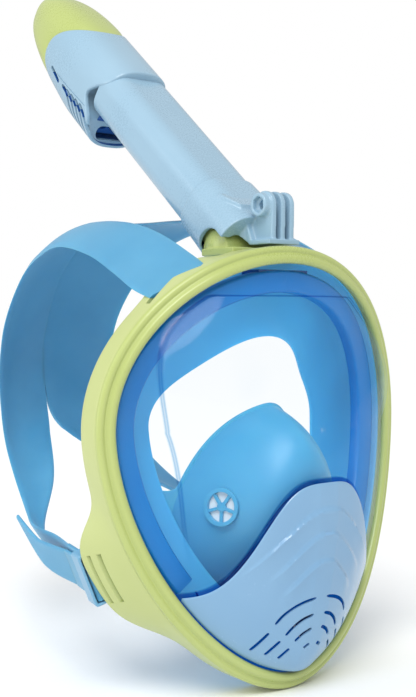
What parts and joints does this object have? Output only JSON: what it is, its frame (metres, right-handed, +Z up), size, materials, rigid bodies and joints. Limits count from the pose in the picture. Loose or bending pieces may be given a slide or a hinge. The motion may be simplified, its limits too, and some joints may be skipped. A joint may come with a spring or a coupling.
{
  "type": "snorkel mask",
  "caption": "Full-face snorkel mask: swept-back lens in a two-bead frame, chin drain cover, silicone skirt and nose cup, head strap, and a pull-off dry-top snorkel with a camera clevis.",
  "frame": {"origin": "centre of the face opening: on the mask's middle plane, level with the widest part of the lens rim, where the wearer's face seals", "axes": "+Z up, -Y the way the lens looks, +Y towards the wearer, +X to the right as the mask is seen from the front"},
  "size_m": [0.207, 0.2912, 0.4139],
  "materials": {
    "frame_green": "satin moulded, pale green",
    "bezel_green": "satin moulded, yellow green",
    "lens_clear": "clear blue polycarbonate",
    "skirt_silicone": "matt translucent silicone",
    "cup_silicone": "matt translucent silicone",
    "valve_plastic": "moulded",
    "valve_rubber": "thin silicone",
    "duct_plastic": "clear blue moulded",
    "chin_plastic": "satin moulded, light blue",
    "seal_rubber": "matt",
    "strap_silicone": "smooth satin silicone",
    "keeper_plastic": "satin moulded",
    "snorkel_plastic": "satin moulded, light blue",
    "tube_plastic": "satin moulded, light blue",
    "cap_green": "satin moulded, yellow green",
    "cage_plastic": "moulded, dark blue",
    "float_plastic": "foamed, blue"
  },
  "bodies": {
    "mask": {"rear_frame": "frame_green", "bezel": "bezel_green", "lens": "lens_clear", "skirt": "skirt_silicone", "nose_cup": "cup_silicone", "inhale_seat_left": "valve_plastic", "inhale_seat_right": "valve_plastic", "air_channel_left": "duct_plastic", "air_channel_right": "duct_plastic", "top_duct": "duct_plastic", "chin_cover": "chin_plastic", "drain_seat": "valve_plastic", "snorkel_socket": "bezel_green", "socket_seal": "seal_rubber", "head_strap": "strap_silicone"},
    "inhale_valve_left": {"inhale_disc_left": "valve_rubber"},
    "inhale_valve_right": {"inhale_disc_right": "valve_rubber"},
    "drain_valve": {"drain_disc": "valve_rubber"},
    "keeper_left": {"strap_keeper_left": "keeper_plastic"},
    "keeper_right": {"strap_keeper_right": "keeper_plastic"},
    "snorkel": {"collar": "snorkel_plastic", "tube": "tube_plastic", "head_housing": "snorkel_plastic", "head_cap": "cap_green", "float_cage": "cage_plastic"},
    "float": {"float": "float_plastic", "float_pad": "seal_rubber"}
  },
  "joints": [
    {"name": "snorkel_pull_off", "type": "slide", "parent": "mask", "child": "snorkel", "axis": [0, 0.7678, 0.6407], "range_m": [0, 0.04]},
    {"name": "float_rise", "type": "slide", "parent": "snorkel", "child": "float", "axis": [0, 0.5759, 0.8175], "range_m": [0, 0.008]},
    {"name": "inhale_lift_left", "type": "slide", "parent": "mask", "child": "inhale_valve_left", "axis": [0.9016, 0.4208, -0.1002], "range_m": [0, 0.0012], "stiffness_N_per_m": 20},
    {"name": "inhale_lift_right", "type": "slide", "parent": "mask", "child": "inhale_valve_right", "axis": [-0.9016, 0.4208, -0.1002], "range_m": [0, 0.0012], "stiffness_N_per_m": 20},
    {"name": "drain_lift", "type": "slide", "parent": "mask", "child": "drain_valve", "axis": [0, -0.963, -0.2696], "range_m": [0, 0.0012], "stiffness_N_per_m": 20},
    {"name": "keeper_slide_left", "type": "slide", "parent": "mask", "child": "keeper_left", "axis": [0.2588, 0.9659, 0], "range_m": [0, 0.02]},
    {"name": "keeper_slide_right", "type": "slide", "parent": "mask", "child": "keeper_right", "axis": [-0.2588, 0.9659, 0], "range_m": [0, 0.02]}
  ]
}
